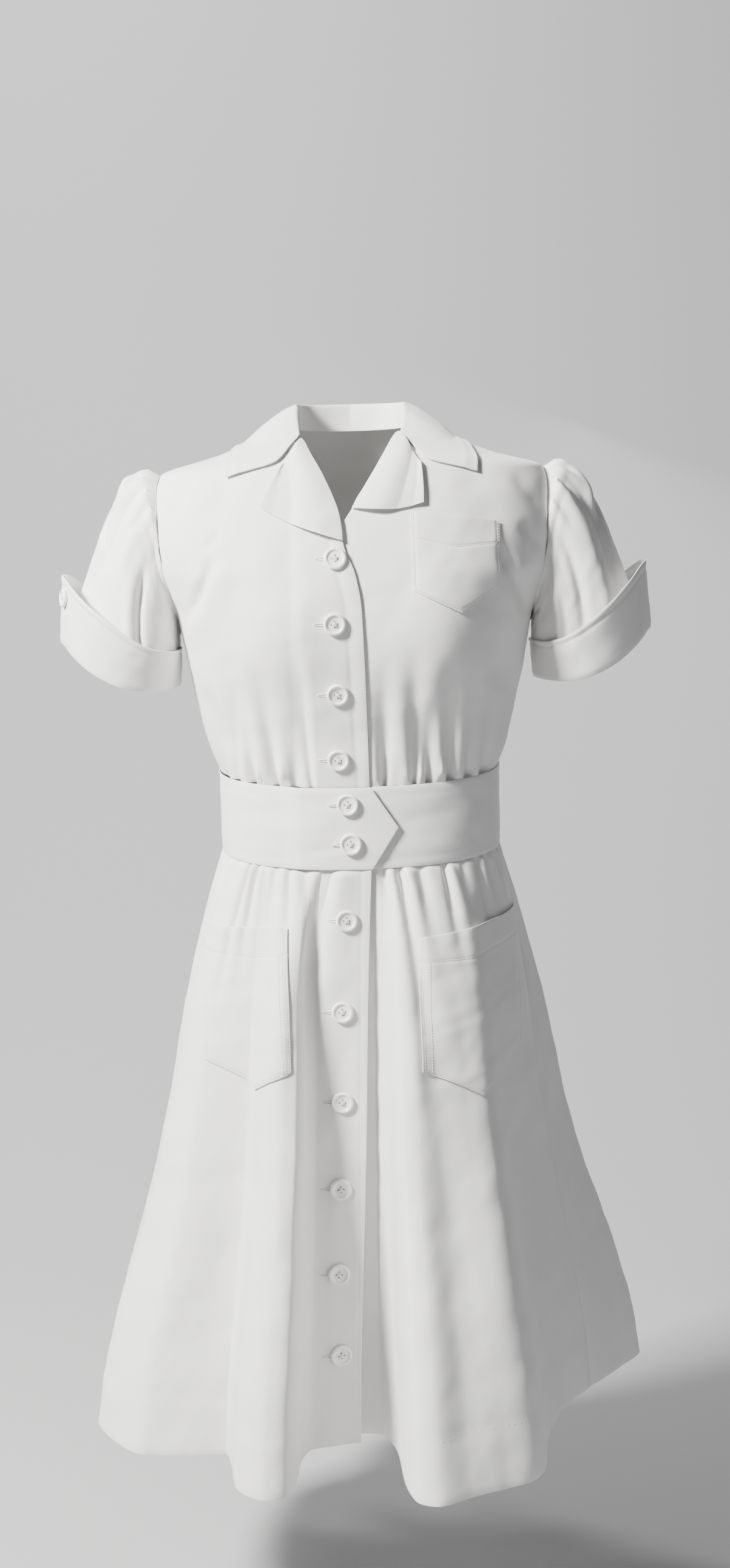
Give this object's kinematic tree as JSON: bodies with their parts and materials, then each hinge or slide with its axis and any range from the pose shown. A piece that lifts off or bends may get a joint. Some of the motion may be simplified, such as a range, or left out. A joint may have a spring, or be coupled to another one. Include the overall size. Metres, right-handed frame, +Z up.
{
  "type": "button-front uniform dress, worn form",
  "caption": "White cotton uniform dress with a notched collar, short cuffed sleeves, patch pockets, a pointed waist belt and a flared buttoned skirt.",
  "frame": {"origin": "middle of the neck at the height of the inner ends of the shoulder seams, where the wearer holds the dress up", "axes": "+Z up, the front faces -Y, +X is the wearer's left"},
  "size_m": [0.5534, 0.4614, 0.9632],
  "materials": {
    "cotton_twill": "bleached white cotton twill, pressed, with a slight sheen",
    "button_plastic": "white moulded polyester, rimmed, four holes"
  },
  "bodies": {
    "root": {"bodice_front_right": "cotton_twill", "bodice_front_left": "cotton_twill", "bodice_back": "cotton_twill", "sleeve_right": "cotton_twill", "sleeve_left": "cotton_twill", "cuff_right": "cotton_twill", "cuff_left": "cotton_twill", "belt_front_right": "cotton_twill", "belt_front_left": "cotton_twill", "belt_back": "cotton_twill", "skirt_front_right": "cotton_twill", "skirt_front_left": "cotton_twill", "skirt_back": "cotton_twill", "breast_pocket": "cotton_twill", "hip_pocket_right": "cotton_twill", "hip_pocket_left": "cotton_twill", "lapel_right": "cotton_twill", "lapel_left": "cotton_twill", "collar": "cotton_twill", "bodice_button_1": "button_plastic", "bodice_button_2": "button_plastic", "bodice_button_3": "button_plastic", "bodice_button_4": "button_plastic", "belt_button_1": "button_plastic", "belt_button_2": "button_plastic", "skirt_button_1": "button_plastic", "skirt_button_2": "button_plastic", "skirt_button_3": "button_plastic", "skirt_button_4": "button_plastic", "skirt_button_5": "button_plastic", "skirt_button_6": "button_plastic", "cuff_button_right": "button_plastic", "cuff_button_left": "button_plastic"}
  },
  "joints": []
}
